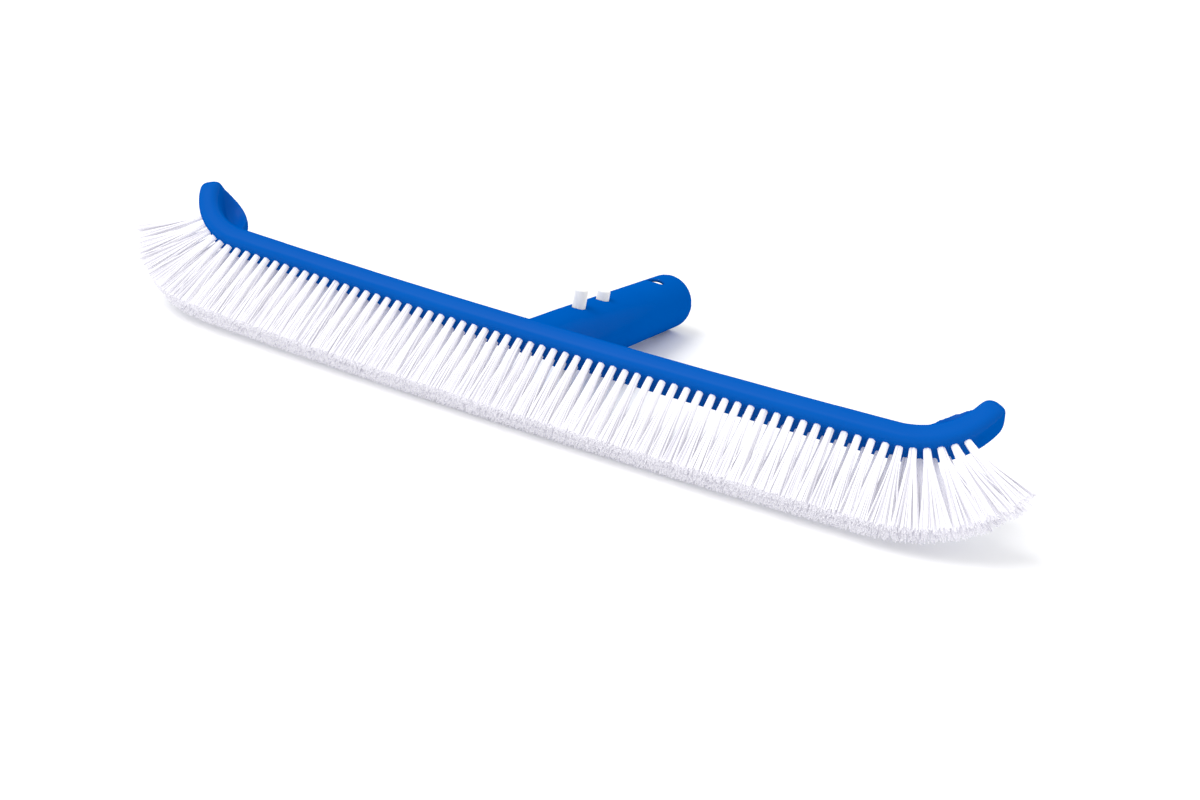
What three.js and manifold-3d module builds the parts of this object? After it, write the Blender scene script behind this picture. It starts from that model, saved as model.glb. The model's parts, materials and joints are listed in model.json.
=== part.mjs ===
// Curved pool wall brush: a moulded bar with curled ends and a tubular pole socket,
// two staggered rows of bristle tufts, and a sprung clip that locks the brush to a pole.
//
// Millimetres, +Z up, +X along the bar, +Y from the bristles towards the pole.
// The brush stands on its lower bristle tips and on the mouth of the pole socket,
// and the origin is the middle of its footprint, at the bottom.
import * as THREE from 'three';
import { mergeVertices } from 'three/addons/utils/BufferGeometryUtils.js';
import Module from 'manifold-3d';

const wasm = await Module();
wasm.setup();

// Bar and curled ends
const BAR_THICKNESS = 10;
const BAR_TOP = 3.8; // above the upper row's reference line, across the rows
const BAR_BOTTOM = -15;
const BAR_EDGE_RADIUS = 3.2;
const STRAIGHT_HALF = 162;
const BOW_RADIUS = 4730;
const CURL_RADIUS = 40.3;
const CURL_ANGLE = THREE.MathUtils.degToRad(62);
const TIP_LENGTH = 9.4; // straight, past the curl, and rounded over like a paddle
const TIP_STEPS = [0.97, 0.85, 0.6, 0.3];
const TIP_THINNING = 0.45; // how much a tip thins as it rounds over
const WEB_LOW = -14;
const WEB_HIGH = -11;
const WEB_BULGE = 4.5;
const WEB_OVERLAP = 1.5; // how far the web reaches into the bar
const WEB_START = 171; // along the bristle face
const WEB_TIP_INSET = 6; // from the end of the bar

// Bristles
const TUFT_PITCH = 5.7;
const UPPER_ROW = { name: 'upper', tufts: 69, rootZ: -1.5, tipHigh: 0, tipLow: -7.25 };
const LOWER_ROW = { name: 'lower', tufts: 68, rootZ: -9.7, tipHigh: -7.55, tipLow: -14.8 };
const TUFTS_PER_BANK = 3;
const BRISTLE_LENGTH = 35.6;
const BRISTLE_SLOPE = THREE.MathUtils.degToRad(38.6);
const TUFT_HALF = 1.25; // half the width of a tuft in its socket
const SOCKET_DEPTH = 6.5;
const CLEARANCE = 0.3;
const BANK_OVERLAP = 0.5;
const MIDDLE_TUFT_INSET = 0.4;
const FAN_START = 165; // along the bar, from where the tufts fan out more than the curl does
const FAN_SHIFT = 4.7; // of the last tuft's tip, along the bar

// Pole socket
const TUBE_RADIUS = 14.5;
const BORE_RADIUS = 11.9;
const TUBE_LENGTH = 128.5;
const TUBE_SLOPE = THREE.MathUtils.degToRad(4.8);
const TUBE_START_Y = 34.5; // behind the bristle roots
const NOSE_CENTRE_Z = -5.2;
const NOSE_HALF_HEIGHT = 9;
const NOSE_HALF_WIDTH = 11;
const NOSE_INSET = 8;
const RIM_HOLE_AT = 105.2;
const RIM_HOLE_RADIUS = 4.2;
const TUBE_SIDES = 36;
const BORE_START = 2;
const BLEND_RINGS = 3; // between the nose and the tube
const HOLE_SIDES = 20;
const CUTTER_EXCESS = 1; // how far a cutter stands out of what it cuts

// Sprung clip
const CLIP_WIDTH = 9;
const CLIP_THICKNESS = 2;
const BEND_AT = 87;
const BEND_RADIUS = 7.6; // to the middle of the strip
const ARM_HEIGHT = 9.7; // of the strip's middle, where it lies along the bore
const ARM_END = 6;
const ARM_KNEE = 62;
const PIN_RADIUS = 3.15;
const PIN_DOME = 0.7; // height of a pin's rounded top
const PIN_HOLE_RADIUS = 3.55;
const PIN_SWING = 1.1; // along the tube, as an arm is pressed in
const TALL_PIN = { at: 11.1, height: 8.3 };
const SHORT_PIN = { at: 37.9, height: 4.2 };

const ROOT_HEIGHT = BRISTLE_LENGTH * Math.sin(BRISTLE_SLOPE)
  - LOWER_ROW.tipLow * Math.cos(BRISTLE_SLOPE);
const TUBE_START_Z = TUBE_RADIUS * Math.cos(TUBE_SLOPE) + TUBE_LENGTH * Math.sin(TUBE_SLOPE);
const FRONT_Y = -BRISTLE_LENGTH * Math.cos(BRISTLE_SLOPE);
const REAR_Y = TUBE_START_Y + TUBE_LENGTH * Math.cos(TUBE_SLOPE) + TUBE_RADIUS * Math.sin(TUBE_SLOPE);
const ROOT_Y = -(FRONT_Y + REAR_Y) / 2;

// The head frame: y = 0 is the face that the bristles leave, towards -y, and z is across the rows.
const HEAD = new THREE.Matrix4().makeRotationX(BRISTLE_SLOPE).setPosition(0, ROOT_Y, ROOT_HEIGHT);
// The tube frame: y runs along the socket's axis to its mouth.
const TUBE = new THREE.Matrix4().makeRotationX(-TUBE_SLOPE)
  .setPosition(0, ROOT_Y + TUBE_START_Y, TUBE_START_Z);

const BLUE = new THREE.MeshStandardMaterial({ color: 0x0062c7, roughness: 0.42, metalness: 0 });
const BRISTLE = new THREE.MeshStandardMaterial({ color: 0xf3f2f8, roughness: 0.5, metalness: 0 });
const CLIP = new THREE.MeshStandardMaterial({ color: 0xe4e6ea, roughness: 0.4, metalness: 0 });

const brush = new THREE.Group();

function addPart(name, geometry, material) {
  const mesh = new THREE.Mesh(geometry, material);
  mesh.name = name;
  brush.add(mesh);
}

// Manifold solids

function solidOf(geometry) {
  const bare = geometry.index ? geometry.clone() : geometry;
  bare.deleteAttribute('normal');
  bare.deleteAttribute('uv');
  const merged = mergeVertices(bare, 1e-4);
  return new wasm.Manifold(new wasm.Mesh({
    numProp: 3,
    vertProperties: new Float32Array(merged.attributes.position.array),
    triVerts: new Uint32Array(merged.index.array),
  }));
}

function geometryOf(solid) {
  const mesh = solid.getMesh();
  const geometry = new THREE.BufferGeometry();
  geometry.setAttribute('position', new THREE.BufferAttribute(mesh.vertProperties, 3));
  geometry.setIndex(new THREE.BufferAttribute(mesh.triVerts, 1));
  geometry.computeVertexNormals();
  return geometry;
}

function placed(geometry, matrix) {
  return solidOf(geometry.applyMatrix4(matrix));
}

// A closed skin through rings of points, each ring with the same number, with flat ends.
function loft(rings) {
  const count = rings[0].length;
  const points = rings.flat();
  const index = [];
  for (let r = 0; r + 1 < rings.length; r += 1) {
    for (let i = 0; i < count; i += 1) {
      const a = r * count + i;
      const b = r * count + (i + 1) % count;
      index.push(a, b, b + count, a, b + count, a + count);
    }
  }
  const last = (rings.length - 1) * count;
  for (let i = 1; i + 1 < count; i += 1) {
    index.push(0, i + 1, i);
    index.push(last, last + i, last + i + 1);
  }
  const geometry = new THREE.BufferGeometry().setFromPoints(points);
  geometry.setIndex(index);
  return geometry;
}

const CURL_END = STRAIGHT_HALF + CURL_RADIUS * CURL_ANGLE;
const BAR_END = CURL_END + TIP_LENGTH;

// The bar's path in the head frame. s is the distance along the bristle face from its middle;
// depth goes into the bar, and a negative depth goes out along the bristles.
function barPoint(s, depth, z) {
  const side = Math.sign(s) || 1;
  const bowAngle = STRAIGHT_HALF / BOW_RADIUS;
  const along = Math.abs(s);
  const bowed = Math.min(along, STRAIGHT_HALF) / BOW_RADIUS;
  let x = BOW_RADIUS * Math.sin(bowed);
  let y = BOW_RADIUS * (1 - Math.cos(bowed));
  let angle = bowed;
  if (along > STRAIGHT_HALF) {
    angle = bowAngle + (Math.min(along, CURL_END) - STRAIGHT_HALF) / CURL_RADIUS;
    const past = Math.max(along - CURL_END, 0);
    x += CURL_RADIUS * (Math.sin(angle) - Math.sin(bowAngle)) + past * Math.cos(angle);
    y += CURL_RADIUS * (Math.cos(bowAngle) - Math.cos(angle)) + past * Math.sin(angle);
  }
  x -= depth * Math.sin(angle);
  y += depth * Math.cos(angle);
  return new THREE.Vector3(side * x, y, z);
}

// The bar's section: a rounded rectangle, as points of (depth, z).
function barSection() {
  const r = BAR_EDGE_RADIUS;
  const corners = [
    [BAR_THICKNESS - r, BAR_BOTTOM + r, -Math.PI / 2],
    [BAR_THICKNESS - r, BAR_TOP - r, 0],
    [r, BAR_TOP - r, Math.PI / 2],
    [r, BAR_BOTTOM + r, Math.PI],
  ];
  return corners.flatMap(([depth, z, from]) => [0, 1, 2, 3].map((step) => {
    const angle = from + (step / 3) * (Math.PI / 2);
    return new THREE.Vector2(depth + r * Math.cos(angle), z + r * Math.sin(angle));
  }));
}

// The section at s, drawn in towards its middle where a tip rounds over (round from 0 to 1).
function barRing(s, round) {
  const middleDepth = BAR_THICKNESS / 2;
  const middleZ = (BAR_TOP + BAR_BOTTOM) / 2;
  const height = Math.sqrt(1 - round * round);
  const thickness = 1 - TIP_THINNING * (1 - height);
  return barSection().map((p) => barPoint(
    s,
    middleDepth + (p.x - middleDepth) * thickness,
    middleZ + (p.y - middleZ) * height,
  ));
}

function barBlank() {
  const stations = TIP_STEPS.map((round) => [CURL_END + TIP_LENGTH * round, round]);
  const curlSteps = 9;
  for (let i = curlSteps; i >= 0; i -= 1) {
    stations.push([STRAIGHT_HALF + (CURL_END - STRAIGHT_HALF) * (i / curlSteps), 0]);
  }
  stations.push(...[0.75, 0.5, 0.25].map((part) => [STRAIGHT_HALF * part, 0]));
  const left = stations.map(([s, round]) => barRing(-s, round));
  const right = stations.map(([s, round]) => barRing(s, round)).reverse();
  return placed(loft([...left, barRing(0, 0), ...right]), HEAD);
}

// The web that closes the lower side of a curl, behind its inner face.
function webBlank(side) {
  const inner = BAR_THICKNESS - WEB_OVERLAP;
  const finish = BAR_END - WEB_TIP_INSET;
  const from = barPoint(side * WEB_START, inner, 0);
  const to = barPoint(side * finish, inner, 0);
  const chord = to.clone().sub(from);
  const bulge = new THREE.Vector2(-chord.y, chord.x).normalize().multiplyScalar(side * 2 * WEB_BULGE);
  const control = from.clone().add(to).multiplyScalar(0.5);
  const edge = new THREE.QuadraticBezierCurve(
    new THREE.Vector2(to.x, to.y),
    new THREE.Vector2(control.x + bulge.x, control.y + bulge.y),
    new THREE.Vector2(from.x, from.y),
  );
  const steps = 8;
  const outline = [];
  for (let i = 0; i <= steps; i += 1) {
    const p = barPoint(side * (WEB_START + (finish - WEB_START) * (i / steps)), inner, 0);
    outline.push(new THREE.Vector2(p.x, p.y));
  }
  outline.push(...edge.getPoints(steps).slice(1, -1));
  const shape = new THREE.Shape(outline);
  const plate = new THREE.ExtrudeGeometry(shape, { depth: WEB_HIGH - WEB_LOW, bevelEnabled: false });
  plate.translate(0, 0, WEB_LOW);
  return placed(plate, HEAD);
}

// Positions of a row's tufts along the bar.
function tuftStations(row) {
  return Array.from({ length: row.tufts }, (_, i) => (i - (row.tufts - 1) / 2) * TUFT_PITCH);
}

function socketCutter(s, row) {
  const side = 2 * (TUFT_HALF + CLEARANCE);
  const cutter = new THREE.BoxGeometry(side, SOCKET_DEPTH + CUTTER_EXCESS, side);
  const deep = barPoint(s, SOCKET_DEPTH, row.rootZ);
  const open = barPoint(s, -CUTTER_EXCESS, row.rootZ);
  const outward = open.clone().sub(deep).normalize();
  const turn = new THREE.Quaternion().setFromUnitVectors(new THREE.Vector3(0, -1, 0), outward);
  const middle = deep.clone().add(open).multiplyScalar(0.5);
  const matrix = new THREE.Matrix4().compose(middle, turn, new THREE.Vector3(1, 1, 1));
  return placed(cutter, HEAD.clone().multiply(matrix));
}

// Pole socket: a round tube whose closed end narrows into the back of the bar.

function tubeRing(at, radius) {
  return Array.from({ length: TUBE_SIDES }, (_, i) => {
    const angle = (i / TUBE_SIDES) * Math.PI * 2;
    return new THREE.Vector3(radius * Math.sin(angle), at, radius * Math.cos(angle)).applyMatrix4(TUBE);
  });
}

function noseRing() {
  return Array.from({ length: TUBE_SIDES }, (_, i) => {
    const angle = (i / TUBE_SIDES) * Math.PI * 2;
    const z = NOSE_CENTRE_Z + NOSE_HALF_HEIGHT * Math.cos(angle);
    return new THREE.Vector3(NOSE_HALF_WIDTH * Math.sin(angle), NOSE_INSET, z).applyMatrix4(HEAD);
  });
}

// Rings between the nose and the tube, which leave each one smoothly in height.
function blendRings(from, to) {
  return Array.from({ length: BLEND_RINGS }, (_, k) => {
    const part = (k + 1) / (BLEND_RINGS + 1);
    const eased = (part + THREE.MathUtils.smoothstep(part, 0, 1)) / 2;
    return from.map((p, i) => {
      const between = p.clone().lerp(to[i], part);
      between.z = THREE.MathUtils.lerp(p.z, to[i].z, eased);
      return between;
    });
  });
}

function tubeBlank() {
  const nose = noseRing();
  const start = tubeRing(BORE_START, TUBE_RADIUS);
  return solidOf(loft([nose, ...blendRings(nose, start), start, tubeRing(TUBE_LENGTH, TUBE_RADIUS)]));
}

function boreCutter() {
  const end = TUBE_LENGTH + CUTTER_EXCESS;
  return solidOf(loft([tubeRing(BORE_START, BORE_RADIUS), tubeRing(end, BORE_RADIUS)]));
}

// A round hole across the tube, through the upper and the lower wall.
function crossHole(at, radius) {
  const height = 2 * (TUBE_RADIUS + CUTTER_EXCESS);
  const cutter = new THREE.CylinderGeometry(radius, radius, height, HOLE_SIDES);
  cutter.rotateX(Math.PI / 2).translate(0, at, 0);
  return placed(cutter, TUBE);
}

function mouldedBody() {
  let body = barBlank().add(webBlank(-1)).add(webBlank(1)).add(tubeBlank());
  body = body.subtract(boreCutter()).subtract(crossHole(RIM_HOLE_AT, RIM_HOLE_RADIUS));
  for (const pin of [TALL_PIN, SHORT_PIN]) {
    body = body.subtract(crossHole(pin.at, PIN_HOLE_RADIUS));
    body = body.subtract(crossHole(pin.at - PIN_SWING, PIN_HOLE_RADIUS));
  }
  for (const row of [UPPER_ROW, LOWER_ROW]) {
    for (const s of tuftStations(row)) {
      body = body.subtract(socketCutter(s, row));
    }
  }
  return geometryOf(body);
}

// The place along the bar that a bristle tip at s points at: the end tufts fan out further.
function fanned(s) {
  const lastTuft = (UPPER_ROW.tufts / 2) * TUFT_PITCH;
  const part = THREE.MathUtils.clamp((Math.abs(s) - FAN_START) / (lastTuft - FAN_START), 0, 1);
  return s + Math.sign(s) * FAN_SHIFT * part * part;
}

// One tuft: a square root in its socket, spread to a flat-sided brush end.
// inset draws the end in on every side but its neighbours'.
function tuft(s, row, reachLeft, reachRight, inset) {
  const corners = [[1, 1], [-1, 1], [-1, -1], [1, -1]];
  const along = barPoint(s + 1, 0, 0).sub(barPoint(s - 1, 0, 0)).normalize();
  const rootRing = (depth) => corners.map(([across, up]) => (
    barPoint(s, depth, row.rootZ + up * TUFT_HALF).addScaledVector(along, across * TUFT_HALF)
  ));
  const tipRing = corners.map(([across, up]) => barPoint(
    fanned(s + across * (across > 0 ? reachRight : reachLeft)),
    inset - BRISTLE_LENGTH,
    up > 0 ? row.tipHigh - inset : row.tipLow + inset,
  ));
  return placed(loft([rootRing(SOCKET_DEPTH - CLEARANCE), rootRing(0), tipRing]), HEAD);
}

// Neighbouring tufts, run together at their tips as the filaments of a brush are.
// Every second one is a little slimmer, so that no two faces lie in one plane.
function tuftBank(row, stations) {
  const half = TUFT_PITCH / 2;
  const last = stations.length - 1;
  return stations
    .map((s, i) => tuft(
      s,
      row,
      i === 0 ? half - CLEARANCE / 2 : half + BANK_OVERLAP,
      i === last ? half - CLEARANCE / 2 : half + BANK_OVERLAP,
      i % 2 === 1 ? MIDDLE_TUFT_INSET : 0,
    ))
    .reduce((bank, next) => bank.add(next));
}

function addRow(row) {
  const stations = tuftStations(row);
  for (let i = 0; i < stations.length; i += TUFTS_PER_BANK) {
    const number = String(i / TUFTS_PER_BANK + 1).padStart(2, '0');
    const bank = tuftBank(row, stations.slice(i, i + TUFTS_PER_BANK));
    addPart(`${row.name}_row_tufts_${number}`, geometryOf(bank), BRISTLE);
  }
}

// Sprung clip: a U of plastic strip in the bore, its bend towards the mouth.

function stripAlong(outline) {
  const strip = new THREE.ExtrudeGeometry(new THREE.Shape(outline), {
    depth: CLIP_WIDTH,
    bevelEnabled: false,
  });
  // The outline is drawn as (along the tube, height), and the strip's width runs along X.
  const across = new THREE.Matrix4().set(
    0, 0, 1, -CLIP_WIDTH / 2,
    1, 0, 0, 0,
    0, 1, 0, 0,
    0, 0, 0, 1,
  );
  return strip.applyMatrix4(across);
}

function clipBend() {
  const steps = 10;
  const outer = BEND_RADIUS + CLIP_THICKNESS / 2;
  const inner = BEND_RADIUS - CLIP_THICKNESS / 2;
  const outline = [];
  for (let i = 0; i <= steps; i += 1) {
    const angle = -Math.PI / 2 + (i / steps) * Math.PI;
    outline.push(new THREE.Vector2(BEND_AT + outer * Math.cos(angle), outer * Math.sin(angle)));
  }
  for (let i = steps; i >= 0; i -= 1) {
    const angle = -Math.PI / 2 + (i / steps) * Math.PI;
    outline.push(new THREE.Vector2(BEND_AT + inner * Math.cos(angle), inner * Math.sin(angle)));
  }
  return geometryOf(placed(stripAlong(outline), TUBE));
}

function lockingPin(pin) {
  const top = TUBE_RADIUS + pin.height;
  const profile = [
    new THREE.Vector2(0, ARM_HEIGHT),
    new THREE.Vector2(PIN_RADIUS, ARM_HEIGHT),
    new THREE.Vector2(PIN_RADIUS, top - PIN_DOME),
    new THREE.Vector2(PIN_RADIUS - PIN_DOME * 0.5, top - PIN_DOME * 0.35),
    new THREE.Vector2(PIN_RADIUS * 0.45, top - PIN_DOME * 0.05),
    new THREE.Vector2(0, top),
  ];
  const turned = new THREE.LatheGeometry(profile, HOLE_SIDES);
  return turned.rotateX(Math.PI / 2).translate(0, pin.at, 0);
}

function clipArm(side) {
  const half = CLIP_THICKNESS / 2;
  const root = BEND_AT - CLEARANCE;
  const outline = [
    new THREE.Vector2(ARM_END, ARM_HEIGHT - half),
    new THREE.Vector2(ARM_KNEE, ARM_HEIGHT - half),
    new THREE.Vector2(root, BEND_RADIUS - half),
    new THREE.Vector2(root, BEND_RADIUS + half),
    new THREE.Vector2(ARM_KNEE, ARM_HEIGHT + half),
    new THREE.Vector2(ARM_END, ARM_HEIGHT + half),
  ];
  const flip = new THREE.Matrix4().makeRotationY(side > 0 ? 0 : Math.PI);
  const place = TUBE.clone().multiply(flip);
  let arm = placed(stripAlong(outline), place);
  for (const pin of [TALL_PIN, SHORT_PIN]) {
    arm = arm.add(placed(lockingPin(pin), place));
  }
  return geometryOf(arm);
}

addPart('moulded_body', mouldedBody(), BLUE);
addPart('clip_bend', clipBend(), CLIP);
addPart('upper_clip_arm', clipArm(1), CLIP);
addPart('lower_clip_arm', clipArm(-1), CLIP);
addRow(UPPER_ROW);
addRow(LOWER_ROW);

export default brush;
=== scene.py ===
"""The visual model of a curved pool wall brush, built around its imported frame.

Laid out as an add-on: each piece or group of like pieces has its own operator, and main()
calls them in order. Lengths are in metres, +X runs along the bar, +Y towards the pole.
"""

import json
import math
import random

import bmesh
import bpy
import numpy as np
from bpy.props import (
    FloatProperty,
    FloatVectorProperty,
    IntProperty,
    PointerProperty,
)
from mathutils import Euler, Matrix, Vector


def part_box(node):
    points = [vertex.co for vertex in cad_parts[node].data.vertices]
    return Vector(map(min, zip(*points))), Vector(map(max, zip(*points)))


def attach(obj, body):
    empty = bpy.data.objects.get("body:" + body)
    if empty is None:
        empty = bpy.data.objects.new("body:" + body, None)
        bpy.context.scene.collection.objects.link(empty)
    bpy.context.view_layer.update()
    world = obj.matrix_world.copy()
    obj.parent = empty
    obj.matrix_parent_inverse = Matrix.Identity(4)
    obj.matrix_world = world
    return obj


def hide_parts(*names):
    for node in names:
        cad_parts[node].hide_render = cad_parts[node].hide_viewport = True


bl_info = {
    "name": "Pool wall brush",
    "version": (1, 0, 0),
    "blender": (4, 5, 0),
    "location": "View3D > Sidebar > Wall brush",
    "description": "Builds a curved pool wall brush with its bristles and pole clip",
    "category": "Object",
}

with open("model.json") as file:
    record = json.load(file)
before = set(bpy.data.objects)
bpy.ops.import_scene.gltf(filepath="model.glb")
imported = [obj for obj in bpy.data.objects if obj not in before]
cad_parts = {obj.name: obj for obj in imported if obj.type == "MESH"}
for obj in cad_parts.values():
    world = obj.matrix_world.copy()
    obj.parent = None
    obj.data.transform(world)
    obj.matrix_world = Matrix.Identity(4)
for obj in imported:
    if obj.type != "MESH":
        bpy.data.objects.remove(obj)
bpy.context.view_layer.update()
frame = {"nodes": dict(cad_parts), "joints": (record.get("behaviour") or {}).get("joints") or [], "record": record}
MM = 0.001

JOINTS = {joint["name"]: joint for joint in frame["joints"]}
MOUTH = next(m for m in frame["record"]["mounts"] if m["name"] == "pole_socket_mouth")
TUFT_NODES = {
    row: sorted(node for node in frame["nodes"] if node.startswith(f"{row}_row_tufts_"))
    for row in ("upper", "lower")
}


def linear(hex_colour):
    """Linear RGBA of an sRGB hex colour such as "#0062C7"."""
    channels = [int(hex_colour[i : i + 2], 16) / 255 for i in (1, 3, 5)]
    return [
        c / 12.92 if c <= 0.04045 else ((c + 0.055) / 1.055) ** 2.4 for c in channels
    ] + [1.0]


# ---------------------------------------------------------------- settings


def length(name, millimetres, description):
    """A length property whose default is given in millimetres."""
    return FloatProperty(
        name=name,
        description=description,
        default=millimetres * MM,
        unit="LENGTH",
        subtype="DISTANCE",
        precision=5,
    )


def turn(name, degrees, description):
    """An angle property whose default is given in degrees."""
    return FloatProperty(
        name=name,
        description=description,
        default=math.radians(degrees),
        unit="ROTATION",
        subtype="ANGLE",
    )


def colour(name, hex_colour, description):
    """A colour property whose default is an sRGB hex value."""
    return FloatVectorProperty(
        name=name,
        description=description,
        default=linear(hex_colour),
        size=4,
        min=0,
        max=1,
        subtype="COLOR",
    )


class BarSettings(bpy.types.PropertyGroup):
    """Sizes of the bar, in the head frame: y goes back from the bristle face, z across the rows."""

    thickness: length("Thickness", 10, "From the bristle face to the back")
    top: length("Top edge", 3.8, "Height of the bar's top side above the upper row")
    bottom: length("Bottom edge", -15, "Height of the bar's lower side")
    edge_radius: length("Edge radius", 3.4, "Rounding of the bar's long edges")
    straight_half: length("Straight half", 162, "From the middle to where a curl starts")
    bow_radius: length("Bow radius", 4730, "Slight bow of the straight part")
    curl_radius: length("Curl radius", 40.3, "Radius of the bristle face on a curl")
    curl_angle: turn("Curl angle", 62, "How far an end curls back")
    tip_length: length("Tip length", 9.4, "Straight part past a curl, which rounds over")
    slope: turn("Slope", 38.6, "How far the bristles point down")
    web_start: length("Web start", 171, "Where along the bar a curl's web starts")
    web_low: length("Web underside", -14.4, "Lower side of the scooped web in a curl")
    web_high: length("Scoop rim", -1.5, "How high the scoop runs up the curl's inner face")
    web_floor: length("Scoop floor", -11.2, "Upper side of the web at its thinnest")
    web_bulge: length("Web bulge", 6.2, "How far the web's free edge bulges")
    voxel: length("Detail", 0.8, "Size of the facets of the finished moulding")


class TubeSettings(bpy.types.PropertyGroup):
    """Sizes of the pole socket, in the tube frame: y runs along the tube to its mouth."""

    length: length("Length", 128.5, "From the start of the bore to the mouth")
    radius: length("Radius", 14.5, "Outside of the tube")
    bore: length("Bore radius", 11.9, "Inside of the tube, at its closed end")
    bore_mouth: length("Mouth radius", 13, "Inside of the tube, at its mouth")
    bore_start: length("Bore start", 2, "Where the bore's closed end is")
    nose_inset: length("Nose inset", 8, "How deep in the bar the tube's nose ends")
    nose_middle: length("Nose middle", -5.2, "Height of the nose's middle, across the rows")
    nose_half: length("Nose half height", 9, "Half the height of the nose at the bar")
    nose_width: length("Nose half width", 11, "Half the width of the nose at the bar")
    rim_hole_at: length("Rim hole", 105.2, "Where the through hole near the rim is")
    rim_hole: length("Rim hole radius", 4.8, "Radius of the hole near the rim")
    pin_hole: length("Pin hole radius", 3.5, "Radius of the holes for the clip's pins")


class BristleSettings(bpy.types.PropertyGroup):
    """Sizes of the tufts and their filaments."""

    pitch: length("Pitch", 5.7, "From one tuft to the next along a row")
    length: length("Length", 35.6, "Filament length outside the bar")
    depth: length("Rooted depth", 2.5, "How deep the filaments are shown in the bar")
    root_radius: length("Root radius", 1.5, "Radius of a tuft where it leaves the bar")
    filament: length("Filament radius", 0.25, "Radius of one filament")
    trim: length("Trim error", 0.5, "How unevenly the filaments are cut")
    fan_start: length("Fan start", 165, "From where along the bar the end tufts fan out further")
    fan_shift: length("Fan shift", 4.7, "How far along the bar the last tuft is fanned")
    fan_trim: length("Fan trim", 3.2, "How much shorter the last tuft is")
    squeeze: FloatProperty(
        name="Squeeze",
        description="How close the tufts stand in a curl, against the straight part",
        default=0.945,
        min=0.5,
        max=1,
    )
    filaments: IntProperty(
        name="Filaments",
        description="Number of filament ends in a tuft",
        default=70,
        min=7,
    )
    sides: IntProperty(
        name="Sides",
        description="Number of sides of a filament",
        default=5,
        min=3,
    )
    seed: IntProperty(name="Seed", description="Start of the random draws", default=7)


class ClipSettings(bpy.types.PropertyGroup):
    """Sizes of the sprung clip, in the tube frame."""

    width: length("Width", 9, "Width of the clip's strip")
    thickness: length("Thickness", 2, "Thickness of the clip's strip")
    bend_at: length("Bend", 87, "Where the arms join the bend")
    bend_radius: length("Bend radius", 7.6, "Radius of the bend, to the strip's middle")
    arm_height: length("Arm height", 9.7, "Middle of an arm, above the tube's axis")
    arm_end: length("Arm end", 6, "Where an arm's free end is")
    knee: length("Knee", 62, "Where an arm leaves the tube's wall")
    gap: length("Gap", 0.3, "Between an arm and the bend")
    pin_radius: length("Pin radius", 3.15, "Radius of the pins")
    tall_at: length("Release pin", 11.1, "Where the tall release pin is")
    tall_height: length("Release pin height", 8.3, "Above the tube's surface")
    short_at: length("Locking pin", 37.9, "Where the short locking pin is")
    short_height: length("Locking pin height", 4.2, "Above the tube's surface")
    swing: length("Pin swing", 1.1, "How far a pin moves along the tube as it is pressed")


class FinishSettings(bpy.types.PropertyGroup):
    """Colours of the materials."""

    body: colour("Body", "#0053AC", "Blue of the moulding")
    body_light: colour("Body, light", "#005BB5", "Blue where the pigment is thinner")
    filament: colour("Filament", "#F3F2F7", "White of the bristles")
    # Painted shade: the grey that a few filaments are given, standing in for the shade between strands
    filament_painted_shade: colour("Filament, dark", "#C0BEC9", "Greyer filaments within a tuft")
    clip: colour("Clip", "#F0EFEC", "Natural white of the clip")
    floor: colour("Floor", "#FBFBFB", "Pale floor")


class StageSettings(bpy.types.PropertyGroup):
    """The camera and the lights."""

    aim: FloatVectorProperty(
        name="Aim",
        description="Point at the middle of the view",
        default=(0.0365, -0.068, 0.017),
        unit="LENGTH",
        subtype="XYZ",
        precision=4,
    )
    distance: length("Distance", 633, "From the camera to the point that it aims at")
    azimuth: turn("Azimuth", 22.06, "Turn of the view about the vertical")
    elevation: turn("Elevation", 21.48, "How far the camera looks down")
    roll: turn("Roll", 8.85, "Tilt of the view")
    lens: FloatProperty(
        name="Lens", description="Focal length", default=44.13, unit="CAMERA"
    )


# ---------------------------------------------------------------- frames


# Height of each row's roots and of its trimmed ends across the rows, in millimetres
ROWS = {
    "upper": {"root": -1.5, "tip": (0.0, -7.3)},
    "lower": {"root": -9.7, "tip": (-7.5, -14.8)},
}


def head_frame():
    """The head frame in the row frame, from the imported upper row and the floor."""
    bar = bpy.context.scene.brush_bar
    bristle = bpy.context.scene.brush_bristles
    middle = TUFT_NODES["upper"][len(TUFT_NODES["upper"]) // 2]
    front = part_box(middle)[0].y
    lowest = ROWS["lower"]["tip"][1] * MM
    y = front + bristle.length * math.cos(bar.slope)
    z = bristle.length * math.sin(bar.slope) - lowest * math.cos(bar.slope)
    return Matrix.Translation((0, y, z)) @ Matrix.Rotation(bar.slope, 4, "X")


def tube_frame():
    """The tube frame in the row frame, from the mouth that the record states."""
    tube = bpy.context.scene.brush_tube
    axis = Vector(MOUTH["axis"]).normalized()
    mouth = Vector((0, MOUTH["pos_m"][1], MOUTH["pos_m"][2]))
    slope = math.atan2(axis.z, axis.y)
    return Matrix.Translation(mouth - axis * tube.length) @ Matrix.Rotation(slope, 4, "X")


def bar_point(s, depth, z):
    """A point of the head frame, s along the bristle face and depth into the bar."""
    bar = bpy.context.scene.brush_bar
    along = abs(s)
    side = 1 if s >= 0 else -1
    bow = bar.straight_half / bar.bow_radius
    angle = min(along, bar.straight_half) / bar.bow_radius
    x = bar.bow_radius * math.sin(angle)
    y = bar.bow_radius * (1 - math.cos(angle))
    if along > bar.straight_half:
        curled = min(along - bar.straight_half, bar.curl_radius * bar.curl_angle)
        past = along - bar.straight_half - curled
        angle = bow + curled / bar.curl_radius
        x += bar.curl_radius * (math.sin(angle) - math.sin(bow)) + past * math.cos(angle)
        y += bar.curl_radius * (math.cos(bow) - math.cos(angle)) + past * math.sin(angle)
    x -= depth * math.sin(angle)
    y += depth * math.cos(angle)
    return Vector((side * x, y, z))


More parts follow.
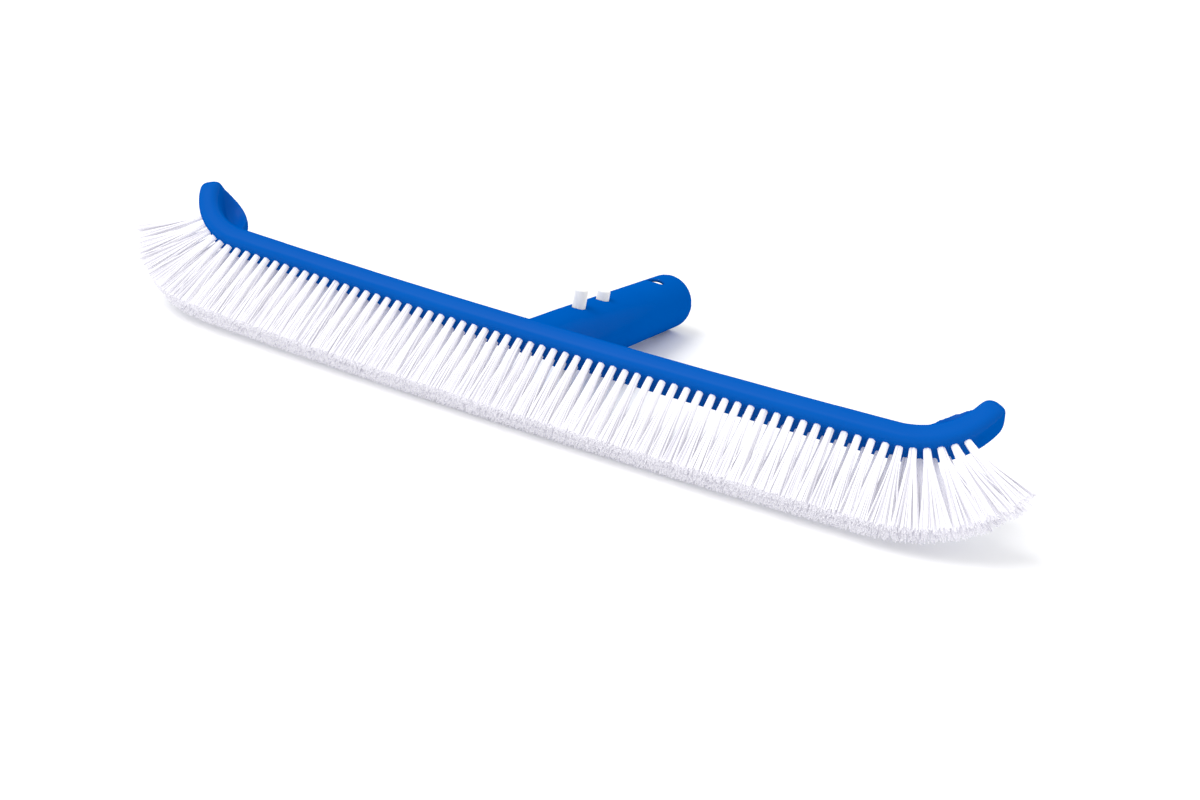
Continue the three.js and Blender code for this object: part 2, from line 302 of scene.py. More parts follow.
def bar_end():
    """Length along the bristle face from the bar's middle to the end of its tip."""
    bar = bpy.context.scene.brush_bar
    return bar.straight_half + bar.curl_radius * bar.curl_angle + bar.tip_length


def curl_centre():
    """The centre of the right-hand curl, in the head frame."""
    bar = bpy.context.scene.brush_bar
    return bar_point(bar.straight_half, bar.curl_radius, 0)


# ---------------------------------------------------------------- modelling steps


# Points closer than this are the same point, and heights closer than the next are level
DOUBLE = 0.001 * MM
LEVEL = 0.01 * MM


def only(obj):
    """Makes obj the one selected and active object."""
    if bpy.context.object and bpy.context.object.mode != "OBJECT":
        bpy.ops.object.mode_set(mode="OBJECT")
    bpy.ops.object.select_all(action="DESELECT")
    obj.hide_set(False)
    obj.select_set(True)
    bpy.context.view_layer.objects.active = obj


def added(name, scale=(1, 1, 1)):
    """The object that a primitive operator has just added, named, with its place in its mesh."""
    obj = bpy.context.object
    obj.name = name
    obj.data.name = name
    obj.scale = scale
    bpy.ops.object.transform_apply(location=True, rotation=True, scale=True)
    return obj


def start():
    """Leaves edit mode and selects nothing, ahead of a new primitive."""
    if bpy.context.object and bpy.context.object.mode != "OBJECT":
        bpy.ops.object.mode_set(mode="OBJECT")
    bpy.ops.object.select_all(action="DESELECT")


def edit(obj, kind="VERT"):
    """Opens obj in edit mode with nothing selected."""
    only(obj)
    bpy.ops.object.mode_set(mode="EDIT")
    bpy.ops.mesh.select_mode(type=kind)
    bpy.ops.mesh.select_all(action="DESELECT")


def pick(obj, test, kind="verts"):
    """Selects the vertices, edges or faces of obj, in edit mode, whose middle passes test."""
    mesh = bmesh.from_edit_mesh(obj.data)
    for part in getattr(mesh, kind):
        if kind == "verts":
            middle = part.co
        elif kind == "edges":
            middle = (part.verts[0].co + part.verts[1].co) / 2
        else:
            middle = part.calc_center_median()
        if test(middle):
            part.select_set(True)
    mesh.select_flush_mode()
    bmesh.update_edit_mesh(obj.data)


def spun(steps, angle, centre, axis=(0, 0, 1)):
    """Sweeps the selection about an axis, counter-clockwise, in edit mode."""
    # Without a window the operator turns the other way.
    bpy.ops.mesh.spin(steps=steps, angle=-angle, center=centre, axis=axis)


def done():
    """Merges doubles, points the faces outwards and leaves edit mode."""
    bpy.ops.mesh.select_all(action="SELECT")
    bpy.ops.mesh.remove_doubles(threshold=DOUBLE)
    bpy.ops.mesh.normals_make_consistent(inside=False)
    bpy.ops.object.mode_set(mode="OBJECT")


def modified(obj, kind, **settings):
    """Adds a modifier to obj and applies it."""
    only(obj)
    modifier = obj.modifiers.new(kind.lower(), kind)
    for name, value in settings.items():
        setattr(modifier, name, value)
    bpy.ops.object.modifier_apply(modifier=modifier.name)
    return obj


def combined(obj, other, operation):
    """Joins other to obj, or cuts it out of obj, and removes other."""
    modified(obj, "BOOLEAN", operation=operation, object=other, solver="EXACT")
    bpy.data.objects.remove(other)
    return obj


def moved(obj, matrix):
    """Places obj by a matrix, and applies that place to its mesh."""
    only(obj)
    obj.matrix_world = matrix
    bpy.ops.object.transform_apply(location=True, rotation=True, scale=True)
    return obj


def smooth(obj, degrees=180):
    """Shades obj smoothly, apart from edges that are sharper than an angle."""
    only(obj)
    bpy.ops.object.shade_smooth_by_angle(angle=math.radians(degrees))
    return obj


def finished(obj, surface, body, nodes):
    """Gives a piece its material and body, and hides the CAD nodes that it stands for."""
    obj.data.materials.clear()
    obj.data.materials.append(surface)
    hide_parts(*nodes)
    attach(obj, body)


# ---------------------------------------------------------------- materials


def node(tree, kind, inputs=None, **settings):
    """Adds a node, sets its properties, and sets or links its inputs."""
    new = tree.nodes.new(kind)
    for name, value in settings.items():
        setattr(new, name, value)
    for name, value in (inputs or {}).items():
        if isinstance(value, bpy.types.NodeSocket):
            tree.links.new(value, new.inputs[name])
        else:
            new.inputs[name].default_value = value
    return new


def material(name):
    """A new material, with its node tree and its Principled shader."""
    new = bpy.data.materials.new(name)
    new.use_nodes = True
    tree = new.node_tree
    return new, tree, tree.nodes["Principled BSDF"]


def polypropylene():
    """Blue polypropylene, injection moulded with a fine spark-eroded grain.

    It gives the eye an even, saturated blue that is nearly matt.
    """
    made = bpy.data.materials.get("blue moulded polypropylene")
    if made:
        return made
    finish = bpy.context.scene.brush_finish
    made, tree, shader = material("blue moulded polypropylene")
    place = node(tree, "ShaderNodeTexCoord").outputs["Object"]
    # Slow variation of the pigment, as the melt flowed along the bar: 40 mm across.
    flow = node(
        tree,
        "ShaderNodeTexNoise",
        {"Vector": place, "Scale": 1 / (40 * MM), "Detail": 3, "Roughness": 0.55},
    )
    # The mould's grain is about 0.1 mm. It is drawn at 0.6 mm, or it would not show.
    grain = node(
        tree,
        "ShaderNodeTexNoise",
        {"Vector": place, "Scale": 1 / (0.6 * MM), "Detail": 2, "Roughness": 0.6},
    )
    tint = node(
        tree,
        "ShaderNodeMapRange",
        {"Value": flow.outputs["Fac"], "From Min": 0.3, "From Max": 0.75, "To Max": 0.35},
    )
    shade = node(
        tree,
        "ShaderNodeMix",
        {"Factor": tint.outputs["Result"], "A": finish.body, "B": finish.body_light},
        data_type="RGBA",
    )
    tree.links.new(mixed(shade), shader.inputs["Base Color"])
    gloss = node(
        tree,
        "ShaderNodeMapRange",
        {"Value": flow.outputs["Fac"], "From Min": 0.3, "From Max": 0.75, "To Min": 0.3, "To Max": 0.38},
    )
    tree.links.new(gloss.outputs["Result"], shader.inputs["Roughness"])
    bump = node(
        tree,
        "ShaderNodeBump",
        {"Height": grain.outputs["Fac"], "Strength": 0.12, "Distance": 0.1 * MM},
    )
    tree.links.new(bump.outputs["Normal"], shader.inputs["Normal"])
    shader.inputs["IOR"].default_value = 1.49
    # The gloss is weaker than the plastic's own and fades where the surface is seen edge on,
    # or the white surroundings would wash the blue out.
    edge = node(tree, "ShaderNodeLayerWeight", {"Blend": 0.5})
    sheen = node(
        tree,
        "ShaderNodeMapRange",
        {"Value": edge.outputs["Facing"], "From Max": 0.6, "To Min": 0.05, "To Max": 0},
    )
    tree.links.new(sheen.outputs["Result"], shader.inputs["Specular IOR Level"])
    return made


def mixed(mix):
    """The colour output of a Mix node."""
    return next(out for out in mix.outputs if out.type == "RGBA")


def nylon():
    """White nylon filament, extruded and trimmed level.

    It gives the eye bright, slightly glossy lines. A few filaments are painted grey, as painted shade between the
    strands.
    """
    made = bpy.data.materials.get("white nylon filament")
    if made:
        return made
    finish = bpy.context.scene.brush_finish
    made, tree, shader = material("white nylon filament")
    # Each filament's painted shade, read from its points, mixes its white towards the painted-shade grey
    shade = node(tree, "ShaderNodeAttribute", attribute_name="strand_shade")
    painted_shade_blend = node(
        tree,
        "ShaderNodeMix",
        {"Factor": shade.outputs["Fac"], "A": finish.filament_painted_shade, "B": finish.filament},
        data_type="RGBA",
    )
    tree.links.new(mixed(painted_shade_blend), shader.inputs["Base Color"])
    shader.inputs["Roughness"].default_value = 0.34
    shader.inputs["IOR"].default_value = 1.53
    # This glow stands in for the light that seeps through the thin filaments from behind.
    shader.inputs["Emission Color"].default_value = finish.filament
    shader.inputs["Emission Strength"].default_value = 0.11
    return made


def acetal():
    """Natural white acetal, injection moulded and lightly polished.

    It gives the eye a milky, faintly translucent white with a clean highlight.
    """
    made = bpy.data.materials.get("natural moulded acetal")
    if made:
        return made
    finish = bpy.context.scene.brush_finish
    made, tree, shader = material("natural moulded acetal")
    place = node(tree, "ShaderNodeTexCoord").outputs["Object"]
    # Faint clouding from the regrind in the melt, 6 mm across.
    cloud = node(
        tree,
        "ShaderNodeTexNoise",
        {"Vector": place, "Scale": 1 / (6 * MM), "Detail": 2},
    )
    gloss = node(
        tree,
        "ShaderNodeMapRange",
        {"Value": cloud.outputs["Fac"], "To Min": 0.28, "To Max": 0.4},
    )
    tree.links.new(gloss.outputs["Result"], shader.inputs["Roughness"])
    shader.inputs["Base Color"].default_value = finish.clip
    shader.inputs["IOR"].default_value = 1.48
    shader.inputs["Subsurface Weight"].default_value = 0.15
    shader.inputs["Subsurface Radius"].default_value = (1.5 * MM, 1.5 * MM, 1.4 * MM)
    shader.inputs["Subsurface Scale"].default_value = 1.0
    return made


def floor_paint():
    """Matt white painted board: an even, pale ground with soft shadows."""
    finish = bpy.context.scene.brush_finish
    made, tree, shader = material("matt white painted board")
    shader.inputs["Base Color"].default_value = finish.floor
    shader.inputs["Roughness"].default_value = 0.8
    return made


# ---------------------------------------------------------------- moulded body


EDGE_SEGMENTS = 7
BOW_STEPS = 24
CURL_STEPS = 30
MIRROR_MERGE = 0.05 * MM

# Steps of a tip's rounding, and how far past the last step the rounding would close
TIP_STEPS = 14
TIP_OPEN = 0.35
# The part of the rounding over which a tip keeps its thickness, and how square it is across
# the rows, where 2 is a half circle
TIP_EVEN = 0.42
TIP_SQUARENESS = 2.1

# How far the web reaches into the bar, and how far it stops short of the bar's end
WEB_OVERLAP = 1.5 * MM
WEB_TIP_INSET = 2.5 * MM
# Half sizes of the scoop, along the web, across it and in height, and how far in it is set
SCOOP = (17 * MM, 11 * MM, 17 * MM)
SCOOP_INSET = 3 * MM

TUBE_SIDES = 72
HOLE_SIDES = 48
NOSE_RINGS = 8
# How far a cutter goes past what it cuts
EXCESS = 2 * MM
SMOOTHING = {"factor": 0.5, "iterations": 8}


def bar_blank():
    """The bar with its two curled ends, in the head frame."""
    bar = bpy.context.scene.brush_bar
    middle = Vector((0, bar.thickness / 2, (bar.top + bar.bottom) / 2))
    start()
    bpy.ops.mesh.primitive_plane_add(
        size=1,
        location=middle,
        rotation=(0, math.pi / 2, 0),
    )
    obj = added("bar_blank", (bar.top - bar.bottom, bar.thickness, 1))
    edit(obj)
    bpy.ops.mesh.select_all(action="SELECT")
    bpy.ops.mesh.bevel(offset=bar.edge_radius, segments=EDGE_SEGMENTS, affect="VERTICES")
    bpy.ops.mesh.select_all(action="SELECT")
    bpy.ops.mesh.delete(type="ONLY_FACE")
    bpy.ops.mesh.select_all(action="SELECT")
    bow = bar.straight_half / bar.bow_radius
    spun(BOW_STEPS, bow, (0, bar.bow_radius, 0))
    spun(CURL_STEPS, bar.curl_angle, curl_centre())
    end = bar_end()
    s = end - bar.tip_length
    depth_scale = across_scale = 1
    for step in range(1, TIP_STEPS + 1):
        part = math.sin(math.pi / 2 * step / (TIP_STEPS + TIP_OPEN))
        next_s = end - bar.tip_length * (1 - part)
        onwards = bar_point(next_s, 0, 0) - bar_point(s, 0, 0)
        bpy.ops.mesh.extrude_region_move(TRANSFORM_OT_translate={"value": onwards})
        next_across = (1 - part**TIP_SQUARENESS) ** (1 / TIP_SQUARENESS)
        next_depth = math.sqrt(1 - (max(0, part - TIP_EVEN) / (1 - TIP_EVEN)) ** 2)
        by_depth = next_depth / depth_scale
        bpy.ops.transform.resize(
            value=(by_depth, by_depth, next_across / across_scale),
            center_override=bar_point(next_s, middle.y, middle.z),
        )
        s, depth_scale, across_scale = next_s, next_depth, next_across
    bpy.ops.mesh.edge_face_add()
    bpy.ops.mesh.select_all(action="DESELECT")
    done()
    modified(obj, "MIRROR", use_clip=True, merge_threshold=MIRROR_MERGE)
    edit(obj)
    done()
    return obj


def cylinder(name, radius, depth, location, rotation=(0, 0, 0), vertices=64):
    """A closed round bar, as a start for a cutter, a web or a pin."""
    start()
    bpy.ops.mesh.primitive_cylinder_add(
        vertices=vertices, radius=radius, depth=depth, location=location, rotation=rotation
    )
    return added(name)


def web(side):
    """The web inside a curl, with a scooped upper face, in the head frame."""
    bar = bpy.context.scene.brush_bar
    centre = curl_centre()
    inner = bar.thickness - WEB_OVERLAP
    first = bar_point(bar.web_start, inner, 0)
    last = bar_point(bar_end() - WEB_TIP_INSET, inner, 0)
    chord = last - first
    edge_radius = chord.length**2 / (8 * bar.web_bulge) + bar.web_bulge / 2
    inward = Vector((-chord.y, chord.x, 0)).normalized()
    middle = (first + last) / 2
    edge_centre = middle + inward * (bar.web_bulge - edge_radius)
    height = bar.web_high - bar.web_low
    level = (bar.web_high + bar.web_low) / 2
    lens = cylinder(
        "web_blank",
        bar.curl_radius - inner,
        height,
        (side * centre.x, centre.y, level),
        vertices=96,
    )
    edge = cylinder(
        "web_edge",
        edge_radius,
        height + EXCESS,
        (side * edge_centre.x, edge_centre.y, level),
        vertices=128,
    )
    combined(lens, edge, "INTERSECT")
    scoop_at = middle + inward * SCOOP_INSET
    start()
    bpy.ops.mesh.primitive_uv_sphere_add(
        segments=64,
        ring_count=32,
        radius=1,
        location=(side * scoop_at.x, scoop_at.y, bar.web_floor + SCOOP[2]),
        rotation=(0, 0, side * math.atan2(chord.y, chord.x)),
    )
    scoop = added("web_scoop", SCOOP)
    return combined(lens, scoop, "DIFFERENCE")


def tube_blank():
    """The pole socket's outside: a tube with a nose that narrows into the bar."""
    tube = bpy.context.scene.brush_tube
    to_tube = tube_frame().inverted() @ head_frame()
    nose_at = to_tube @ Vector((0, tube.nose_inset, tube.nose_middle))
    nose_turn = (to_tube.to_3x3() @ Matrix.Rotation(math.pi / 2, 3, "X")).to_euler()
    start()
    bpy.ops.mesh.primitive_circle_add(
        vertices=TUBE_SIDES,
        radius=1,
        location=nose_at,
        rotation=nose_turn,
    )
    nose = added("nose_ring", (tube.nose_width, tube.nose_half, 1))
    start()
    bpy.ops.mesh.primitive_circle_add(
        vertices=TUBE_SIDES,
        radius=tube.radius,
        location=(0, tube.bore_start, 0),
        rotation=(math.pi / 2, 0, 0),
    )
    obj = added("tube_blank")
    edit(obj, "EDGE")
    bpy.ops.mesh.select_all(action="SELECT")
    bpy.ops.mesh.extrude_region_move(
        TRANSFORM_OT_translate={"value": (0, tube.length - tube.bore_start, 0)}
    )
    bpy.ops.mesh.edge_face_add()
    bpy.ops.object.mode_set(mode="OBJECT")
    only(obj)
    nose.select_set(True)
    bpy.ops.object.join()
    edit(obj, "EDGE")
    pick(obj, lambda p: p.y < tube.bore_start + 10 * LEVEL, "edges")
    bpy.ops.mesh.bridge_edge_loops(number_cuts=NOSE_RINGS, interpolation="LINEAR")
    edit(obj, "EDGE")
    bpy.ops.mesh.select_non_manifold()
    bpy.ops.mesh.edge_face_add()
    done()
    return obj


def pin_slot(at):
    """A cutter for a pin's holes: long enough for the pin's swing as its arm is pressed."""
    tube = bpy.context.scene.brush_tube
    clip = bpy.context.scene.brush_clip
    obj = cylinder("pin_slot", tube.pin_hole, tube.radius * 3, (0, at, 0), vertices=HOLE_SIDES)
    edit(obj)
    pick(obj, lambda p: p.y < at - LEVEL)
    bpy.ops.transform.translate(value=(0, -clip.swing, 0))
    done()
    return obj


def bore_cutter():
    """A cutter for the pole socket's bore, which opens slightly towards its mouth."""
    tube = bpy.context.scene.brush_tube
    depth = tube.length - tube.bore_start + EXCESS
    start()
    bpy.ops.mesh.primitive_cone_add(
        vertices=96,
        radius1=tube.bore,
        radius2=tube.bore_mouth,
        depth=depth,
        location=(0, tube.bore_start + depth / 2, 0),
        rotation=(-math.pi / 2, 0, 0),
    )
    return added("bore_cutter")


def rim_hole_cutter():
    """A cutter for the through hole near the rim."""
    tube = bpy.context.scene.brush_tube
    return cylinder("rim_hole", tube.rim_hole, tube.radius * 3, (0, tube.rim_hole_at, 0))


def joined(obj, other):
    """Makes other part of obj."""
    only(obj)
    other.select_set(True)
    bpy.ops.object.join()
    return obj


class WALLBRUSH_OT_moulded_body(bpy.types.Operator):
    """Model the blue moulding: the bar, its curled ends and the pole socket"""

    bl_idname = "wallbrush.moulded_body"
    bl_label = "Moulded body"

    def execute(self, context):
        bar = context.scene.brush_bar
        clip = context.scene.brush_clip
        to_tube = tube_frame().inverted() @ head_frame()
        body = tube_blank()
        for part in (bar_blank(), web(-1), web(1)):
            combined(body, moved(part, to_tube), "UNION")
        combined(body, bore_cutter(), "DIFFERENCE")
        modified(body, "REMESH", mode="VOXEL", voxel_size=bar.voxel)
        modified(body, "SMOOTH", **SMOOTHING)
        holes = pin_slot(clip.tall_at)
        for other in (pin_slot(clip.short_at), rim_hole_cutter()):
            holes = joined(holes, other)
        combined(body, holes, "DIFFERENCE")
        body.name = "body_moulding"
        moved(body, tube_frame())
        smooth(body)
        finished(body, polypropylene(), "brush_head", ["moulded_body"])
        return {"FINISHED"}


# ---------------------------------------------------------------- tufts


# A bank holds three tufts, apart from the last one of the lower row, which is one short
BANK = 3
SHORT_BANKS = {"upper": 0, "lower": 1}
# Lengths of a unit filament's stretches, and the height below which a point is at its root
STRETCHES = (0.3, 0.35, 0.35)
ROOT_LEVEL = 0.01
# How far, in millimetres, a tuft leans, its tips wander, a stray tip wanders, and tips
# wander in height; and the share of filaments that stray
LEAN = 0.35
WANDER = 0.42
STRAY_WANDER = 1.3
HEIGHT_WANDER = 0.3
STRAYS = 0.04
# How much of a row's height its tips fill, and how far along its reach a filament's curve
# is still drawn straight out of the bar
FILL = 0.94
GUIDE_REACH = 0.22
# Painted shade between strands: a few filaments are painted grey; how rare they are, and how grey the greyest one
# is
PAINTED_SHADE_RARITY = 8
DEEPEST_PAINTED_SHADE = 0.9


def tuft_places(row):
    """Where a row's tufts stand along the bar: three to a packed bank, two in a short one."""
    bristle = bpy.context.scene.brush_bristles
    count = BANK * len(TUFT_NODES[row]) - SHORT_BANKS[row]
    return [squeezed((i - (count - 1) / 2) * bristle.pitch) for i in range(count)]


def squeezed(s):
    """The place along the bar of a tuft that would stand at s if the curls were straight."""
    straight = bpy.context.scene.brush_bar.straight_half
    past = max(abs(s) - straight, 0)
    return s - math.copysign(past * (1 - bpy.context.scene.brush_bristles.squeeze), s)


def filament_blank():
    """One filament of unit radius and length along +Z, with its cut end, as points and faces."""
    bristle = bpy.context.scene.brush_bristles
    start()
    bpy.ops.mesh.primitive_circle_add(vertices=bristle.sides, radius=1)
    obj = added("filament_blank")
    edit(obj, "EDGE")
    bpy.ops.mesh.select_all(action="SELECT")
    for step in STRETCHES:
        bpy.ops.mesh.extrude_region_move(TRANSFORM_OT_translate={"value": (0, 0, step)})
    bpy.ops.mesh.edge_face_add()
    edit(obj, "EDGE")
    pick(obj, lambda p: p.z < ROOT_LEVEL, "edges")
    bpy.ops.mesh.edge_face_add()
    done()
    points = np.array([v.co for v in obj.data.vertices])
    faces = [list(face.vertices) for face in obj.data.polygons]
    bpy.data.objects.remove(obj)
    return points, faces


def bundle(count):
    """Places of a tuft's filaments in its round root, evenly filled, within a unit circle."""
    golden = math.pi * (3 - math.sqrt(5))
    places = []
    for i in range(count):
        radius = math.sqrt((i + 0.5) / count)
        places.append((radius * math.cos(i * golden), radius * math.sin(i * golden)))
    return places


def square_of(u, v):
    """Spreads a point of the unit circle over a square of the same half width."""
    radius = math.hypot(u, v)
    if radius < 1e-6:
        return 0.0, 0.0
    stretch = radius / max(abs(u), abs(v))
    return u * stretch, v * stretch


def fan_part(s):
    """How far a place along the bar is into the fan of an end, from 0 to 1 at the last tuft."""
    bristle = bpy.context.scene.brush_bristles
    last = tuft_places("upper")[-1]
    return min(max((abs(s) - bristle.fan_start) / (last - bristle.fan_start), 0), 1)


def fanned(s):
    """Where a tip at s points to along the bar: the end tufts fan out further than the curl."""
    shift = bpy.context.scene.brush_bristles.fan_shift * fan_part(s) ** 2
    return s + math.copysign(shift, s)


def tuft_filaments(row, s, draw, blank):
    """Points and painted shades of one tuft's filaments, in the head frame."""
    bristle = bpy.context.scene.brush_bristles
    root_z = ROWS[row]["root"] * MM
    high, low = (h * MM for h in ROWS[row]["tip"])
    points = blank[0]
    strands = []
    lean = draw.gauss(0, LEAN) * MM
    for u, v in bundle(bristle.filaments):
        across, up = square_of(u, v)
        root_shift = u * (bristle.root_radius - bristle.filament)
        z0 = root_z + v * (bristle.root_radius - bristle.filament)
        wander = STRAY_WANDER if draw.random() < STRAYS else WANDER
        tip_s = fanned(s + lean + across * bristle.pitch * 0.5 + draw.gauss(0, wander) * MM)
        tip_z = (high + low) / 2 + up * (high - low) / 2 * FILL
        tip_z += draw.gauss(0, HEIGHT_WANDER) * MM
        tip_z = min(high, max(low + bristle.filament, tip_z))
        out = bristle.length - abs(draw.gauss(0, bristle.trim / 2))
        out -= bristle.fan_trim * fan_part(s) ** 3
        along = (bar_point(s + MM, 0, 0) - bar_point(s - MM, 0, 0)).normalized()
        root = bar_point(s, bristle.depth, z0) + along * root_shift
        mouth = bar_point(s, 0, z0) + along * root_shift
        tip = bar_point(tip_s, -out, tip_z)
        outward = (mouth - root).normalized()
        reach = (tip - mouth).length
        guide = mouth + outward * reach * GUIDE_REACH
        line = filament_line(root, mouth, guide, tip, points[:, 2])
        strands.append(swept(line, points, bristle.filament))
    # Painted shade: a few filaments, at random, are painted grey to stand in for the shade between strands
    painted_shades = [1 - draw.random() ** PAINTED_SHADE_RARITY * DEEPEST_PAINTED_SHADE for _ in strands]
    return strands, painted_shades


def filament_line(root, mouth, guide, tip, parts):
    """Where the blank's levels lie along a filament: straight out of the bar, then curving."""
    levels = []
    for t in parts:
        if t < ROOT_LEVEL:
            levels.append(root)
        else:
            levels.append(mouth * (1 - t) ** 2 + guide * (2 * t * (1 - t)) + tip * t**2)
    return levels


def swept(line, points, radius):
    """The blank's points, carried along a filament's line."""
    direction = (line[-1] - line[0]).normalized()
    side = direction.orthogonal().normalized()
    other = direction.cross(side)
    return [
        tuple(level + side * (point[0] * radius) + other * (point[1] * radius))
        for level, point in zip(line, points)
    ]


def bank_mesh(name, row, stations, draw, blank, matrix):
    """A bank of neighbouring tufts, as one mesh in the row frame."""
    points = []
    faces = []
    painted_shades = []
    for s in stations:
        strands, tuft_painted_shades = tuft_filaments(row, s, draw, blank)
        for strand, painted_shade in zip(strands, tuft_painted_shades):
            base = len(points)
            points.extend(strand)
            faces.extend([[base + corner for corner in face] for face in blank[1]])
            painted_shades.extend([painted_shade] * len(strand))
    mesh = bpy.data.meshes.new(name)
    mesh.from_pydata(points, [], faces)
    mesh.transform(matrix)
    # Each point carries its filament's painted shade, which the nylon material reads
    shade = mesh.attributes.new("strand_shade", "FLOAT", "POINT")
    shade.data.foreach_set("value", np.array(painted_shades, np.float32))
    obj = bpy.data.objects.new(name, mesh)
    bpy.context.scene.collection.objects.link(obj)
    return obj


class WALLBRUSH_OT_tufts(bpy.types.Operator):
    """Fill both rows with tufts of separate filaments"""

    bl_idname = "wallbrush.tufts"
    bl_label = "Bristle tufts"

    def execute(self, context):
        bristle = context.scene.brush_bristles
        draw = random.Random(bristle.seed)
        blank = filament_blank()
        matrix = head_frame()
        for row, nodes in TUFT_NODES.items():
            places = tuft_places(row)
            for i, node_name in enumerate(nodes):
                stations = places[BANK * i : BANK * i + BANK]
                name = node_name.replace("tufts", "bristles")
                bank = bank_mesh(name, row, stations, draw, blank, matrix)
                smooth(bank, 60)
                finished(bank, nylon(), "brush_head", [node_name])
        return {"FINISHED"}


# ---------------------------------------------------------------- sprung clip


BEND_STEPS = 24
STRIP_EDGE = 0.35 * MM
# Rounding of a pin's rim, and where and how far its top rises
PIN_EDGE = 0.7 * MM
PIN_TOP_INSET = 1.1 * MM
PIN_TOP_RISE = 0.15 * MM
# Half the length over which an arm starts to bend at its knee, and how far it drops there
KNEE_HALF = 6 * MM
KNEE_DROP = 0.35 * MM


def strip_ring(name, y, z):
    """The strip's section across the tube, as a closed edge loop at a place of the tube frame."""
    clip = bpy.context.scene.brush_clip
    start()
    bpy.ops.mesh.primitive_plane_add(size=1, location=(0, y, z), rotation=(math.pi / 2, 0, 0))
    return added(name, (clip.width, clip.thickness, 1))


def soften(obj):
    """Rounds the sharp edges of a moulded strip."""
    sharp = math.radians(40)
    modified(obj, "BEVEL", width=STRIP_EDGE, segments=3, limit_method="ANGLE", angle_limit=sharp)
    return smooth(obj, 40)


def clip_bend():
    """The clip's fixed bend, in the tube frame."""
    clip = bpy.context.scene.brush_clip
    obj = strip_ring("clip_bend_piece", clip.bend_at, clip.bend_radius)
    edit(obj)
    bpy.ops.mesh.select_all(action="SELECT")
    spun(BEND_STEPS, -math.pi, (0, clip.bend_at, 0), (1, 0, 0))
    done()
    return soften(obj)


def clip_pin(name, at, height):
    """A pin with a domed top, in the tube frame."""
    tube = bpy.context.scene.brush_tube
    clip = bpy.context.scene.brush_clip
    top = tube.radius + height
    bottom = clip.arm_height
    middle = (0, at, (top + bottom) / 2)
    obj = cylinder(name, clip.pin_radius, top - bottom, middle, vertices=HOLE_SIDES)
    edit(obj, "FACE")
    pick(obj, lambda p: p.z > top - LEVEL, "faces")
    bpy.ops.mesh.bevel(offset=PIN_EDGE, segments=4, affect="EDGES")
    edit(obj, "FACE")
    pick(obj, lambda p: p.z > top - LEVEL, "faces")
    bpy.ops.mesh.inset(thickness=PIN_TOP_INSET, depth=0.0)
    bpy.ops.transform.translate(value=(0, 0, PIN_TOP_RISE))
    done()
    return obj


def clip_arm(name):
    """An upper arm with its two pins, in the tube frame."""
    clip = bpy.context.scene.brush_clip
    obj = strip_ring(name, clip.arm_end, clip.arm_height)
    edit(obj, "FACE")
    bpy.ops.mesh.select_all(action="SELECT")
    root = clip.bend_at - clip.gap
    steps = (
        (clip.knee - KNEE_HALF - clip.arm_end, 0),
        (2 * KNEE_HALF, -KNEE_DROP),
        (root - clip.knee - KNEE_HALF, clip.bend_radius - clip.arm_height + KNEE_DROP),
    )
    for along, rise in steps:
        bpy.ops.mesh.extrude_region_move(TRANSFORM_OT_translate={"value": (0, along, rise)})
    done()
    soften(obj)
    combined(obj, clip_pin("tall_pin", clip.tall_at, clip.tall_height), "UNION")
    combined(obj, clip_pin("short_pin", clip.short_at, clip.short_height), "UNION")
    return smooth(obj, 35)


class WALLBRUSH_OT_clip(bpy.types.Operator):
    """Model the sprung clip: its bend and the two arms with their pins"""

    bl_idname = "wallbrush.clip"
    bl_label = "Sprung clip"

    def execute(self, context):
        place = tube_frame()
        flipped = place @ Matrix.Rotation(math.pi, 4, "Y")
        bend = moved(clip_bend(), place)
        finished(bend, acetal(), "brush_head", ["clip_bend"])
        for name, matrix in (("upper", place), ("lower", flipped)):
            body = JOINTS[f"{name}_arm_flex"]["child"]
            arm = moved(clip_arm(f"{name}_arm_piece"), matrix)
            finished(arm, acetal(), body, [f"{name}_clip_arm"])
        return {"FINISHED"}


# ---------------------------------------------------------------- stage


# The direction of the key lamp, its breadth and strength, and the surroundings' strength
KEY_TOWARDS = Vector((-0.5, -0.45, 1))
KEY_BREADTH = math.radians(32)
KEY_STRENGTH = 1.35
WORLD_STRENGTH = 0.95
# The floor is so wide, in metres, that its far edge looks like a horizon
FLOOR_SIZE = 80


def key_lamp(aim):
    """A broad, distant lamp, which lights the whole floor evenly from one direction."""
    lamp = bpy.data.lights.new("key", "SUN")
    lamp.angle = KEY_BREADTH
    lamp.energy = KEY_STRENGTH
    obj = bpy.data.objects.new("key", lamp)
    obj.location = aim + KEY_TOWARDS
    obj.rotation_euler = KEY_TOWARDS.to_track_quat("Z", "Y").to_euler()
    bpy.context.scene.collection.objects.link(obj)


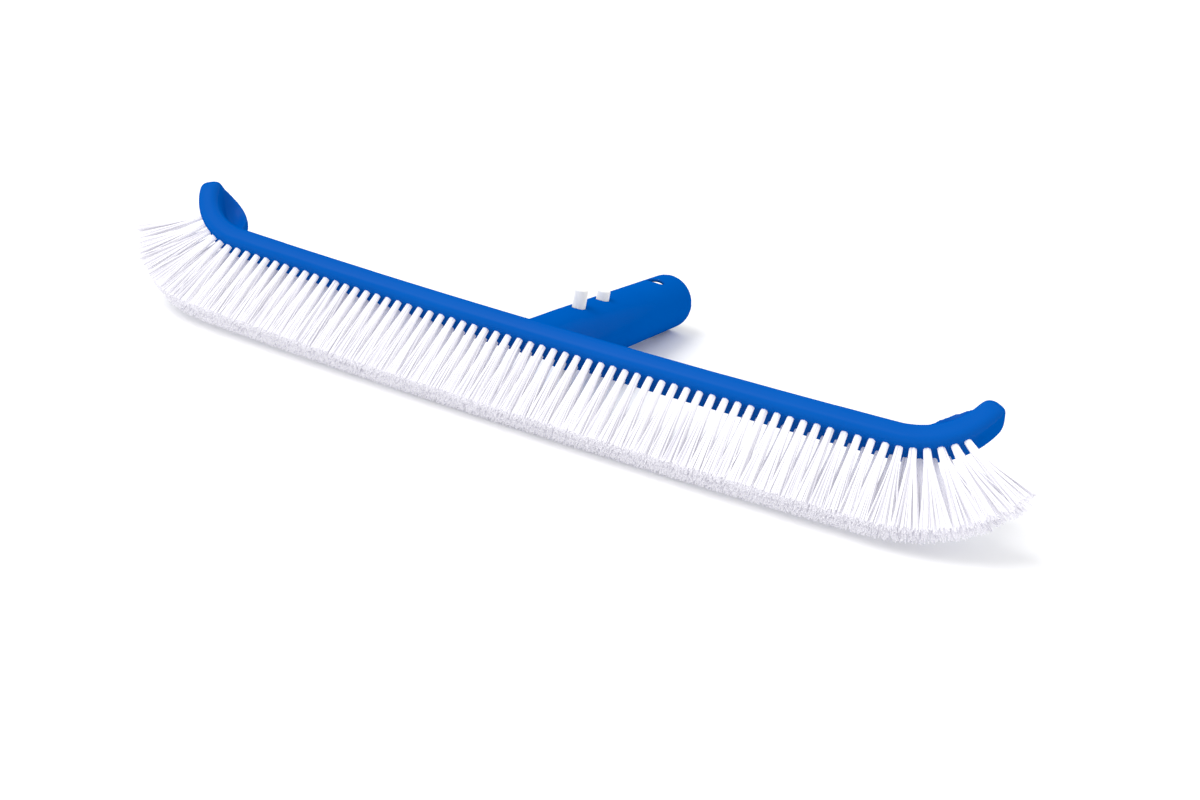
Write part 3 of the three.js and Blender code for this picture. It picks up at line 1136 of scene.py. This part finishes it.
class WALLBRUSH_OT_stage(bpy.types.Operator):
    """Lay the floor and set the lights and the camera"""

    bl_idname = "wallbrush.stage"
    bl_label = "Stage"

    def execute(self, context):
        scene = context.scene
        stage = scene.brush_stage
        start()
        bpy.ops.mesh.primitive_plane_add(size=FLOOR_SIZE, location=(0, 0, 0))
        floor = added("floor")
        floor.data.materials.append(floor_paint())
        aim = Vector(stage.aim)
        away = Vector((
            math.sin(stage.azimuth) * math.cos(stage.elevation),
            -math.cos(stage.azimuth) * math.cos(stage.elevation),
            math.sin(stage.elevation),
        ))
        camera = bpy.data.cameras.new("camera")
        camera.lens = stage.lens
        camera.sensor_width = 36
        camera.clip_start = 0.01
        view = bpy.data.objects.new("camera", camera)
        look = Euler((math.pi / 2 - stage.elevation, 0, stage.azimuth)).to_matrix().to_4x4()
        roll = Matrix.Rotation(stage.roll, 4, "Z")
        view.matrix_world = Matrix.Translation(aim + away * stage.distance) @ look @ roll
        scene.collection.objects.link(view)
        scene.camera = view
        key_lamp(aim)
        world = bpy.data.worlds.new("studio")
        world.use_nodes = True
        background = world.node_tree.nodes["Background"]
        background.inputs["Color"].default_value = (1, 1, 1, 1)
        background.inputs["Strength"].default_value = WORLD_STRENGTH
        scene.world = world
        scene.view_settings.view_transform = "Standard"
        return {"FINISHED"}


class WALLBRUSH_PT_panel(bpy.types.Panel):
    """Lists the pieces of the brush"""

    bl_idname = "WALLBRUSH_PT_panel"
    bl_label = "Wall brush"
    bl_space_type = "VIEW_3D"
    bl_region_type = "UI"
    bl_category = "Wall brush"

    def draw(self, context):
        for operator in OPERATORS:
            self.layout.operator(operator.bl_idname)


SETTINGS = {
    "brush_bar": BarSettings,
    "brush_tube": TubeSettings,
    "brush_bristles": BristleSettings,
    "brush_clip": ClipSettings,
    "brush_finish": FinishSettings,
    "brush_stage": StageSettings,
}
OPERATORS = (
    WALLBRUSH_OT_stage,
    WALLBRUSH_OT_moulded_body,
    WALLBRUSH_OT_tufts,
    WALLBRUSH_OT_clip,
)


def register():
    """Adds the settings, the operators and the panel."""
    for group in SETTINGS.values():
        bpy.utils.register_class(group)
    for name, group in SETTINGS.items():
        setattr(bpy.types.Scene, name, PointerProperty(type=group))
    for operator in OPERATORS:
        bpy.utils.register_class(operator)
    bpy.utils.register_class(WALLBRUSH_PT_panel)


def unregister():
    """Takes away what register adds."""
    bpy.utils.unregister_class(WALLBRUSH_PT_panel)
    for operator in reversed(OPERATORS):
        bpy.utils.unregister_class(operator)
    for name, group in SETTINGS.items():
        delattr(bpy.types.Scene, name)
        bpy.utils.unregister_class(group)


def main():
    """Builds the brush and its stage."""
    register()
    bpy.ops.wallbrush.stage()
    bpy.ops.wallbrush.moulded_body()
    bpy.ops.wallbrush.tufts()
    bpy.ops.wallbrush.clip()


if __name__ == "__main__":
    main()
